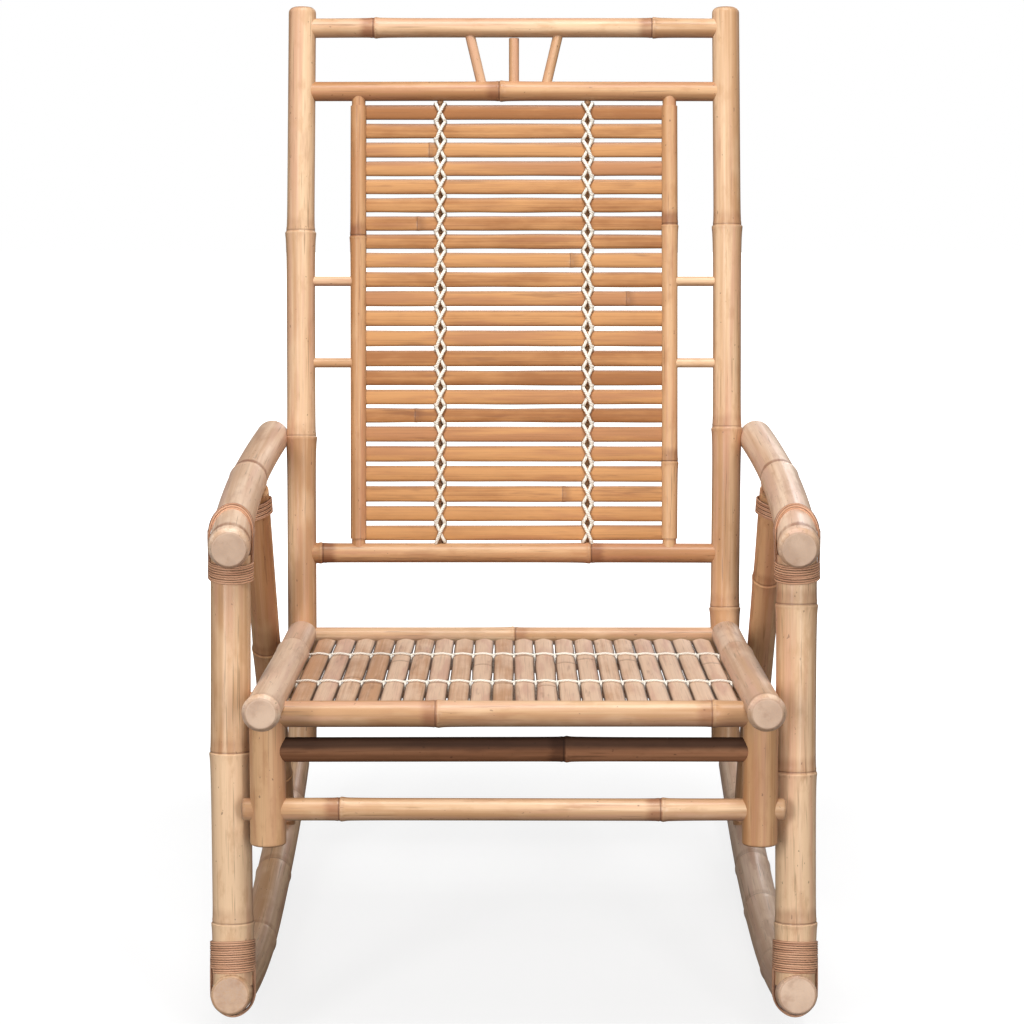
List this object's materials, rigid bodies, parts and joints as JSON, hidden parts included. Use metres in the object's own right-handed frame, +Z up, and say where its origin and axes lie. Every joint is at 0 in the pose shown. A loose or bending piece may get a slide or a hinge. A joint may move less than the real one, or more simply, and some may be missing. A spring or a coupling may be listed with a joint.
{
  "type": "rocking chair",
  "caption": "Bamboo rocking chair with curved rockers, a slatted seat and a tall slatted back laced with cord, and cane lashings at the legs.",
  "frame": {"origin": "on the floor, under the middle of the chair's overall width and depth", "axes": "+Z up, the seat faces -Y, +X to the right of a viewer who faces the chair"},
  "size_m": [0.618, 0.9038, 1.0333],
  "materials": {
    "pale_culms": "satin, pale tan bamboo with browner nodes",
    "darker_culms": "satin, darker tan bamboo with browner nodes",
    "back_slats": "satin, honey-brown split bamboo",
    "seat_slats": "satin, pinkish tan split bamboo",
    "cane": "matt, reddish brown cane",
    "lacing_cord": "matt, cream cord"
  },
  "bodies": {
    "root": {"rocker_left": "pale_culms", "rocker_right": "pale_culms", "front_leg_left": "pale_culms", "front_leg_right": "pale_culms", "rear_leg_left": "darker_culms", "rear_leg_right": "darker_culms", "armrest_left": "pale_culms", "armrest_right": "pale_culms", "back_post_left": "pale_culms", "back_post_right": "pale_culms", "side_rail_left": "pale_culms", "side_rail_right": "pale_culms", "stub_leg_left": "darker_culms", "stub_leg_right": "darker_culms", "seat_front_rail": "pale_culms", "seat_rear_rail": "pale_culms", "lower_front_rail": "darker_culms", "stretcher": "pale_culms", "top_rail": "pale_culms", "second_rail": "pale_culms", "low_back_rail": "darker_culms", "fan_stick_left": "pale_culms", "fan_stick_middle": "pale_culms", "fan_stick_right": "pale_culms", "stile_left": "darker_culms", "stile_right": "darker_culms", "peg_low_left": "pale_culms", "peg_low_right": "pale_culms", "peg_high_left": "pale_culms", "peg_high_right": "pale_culms", "back_slats_1": "back_slats", "back_slats_2": "back_slats", "back_slats_3": "back_slats", "back_slats_4": "back_slats", "back_slats_5": "back_slats", "back_slats_6": "back_slats", "upright_left": "darker_culms", "upright_right": "darker_culms", "back_lacing_left": "lacing_cord", "back_lacing_right": "lacing_cord", "seat_slats_1": "seat_slats", "seat_slats_2": "seat_slats", "seat_slats_3": "seat_slats", "seat_slats_4": "seat_slats", "seat_slats_5": "seat_slats", "seat_bar_front": "darker_culms", "seat_bar_rear": "darker_culms", "seat_lacing_front": "lacing_cord", "seat_lacing_rear": "lacing_cord", "foot_lashing_left": "cane", "foot_lashing_right": "cane", "arm_lashing_left": "cane", "arm_lashing_right": "cane", "rear_foot_lashing_left": "cane", "rear_foot_lashing_right": "cane", "rear_arm_lashing_left": "cane", "rear_arm_lashing_right": "cane", "hidden_pins": "darker_culms"}
  },
  "joints": []
}
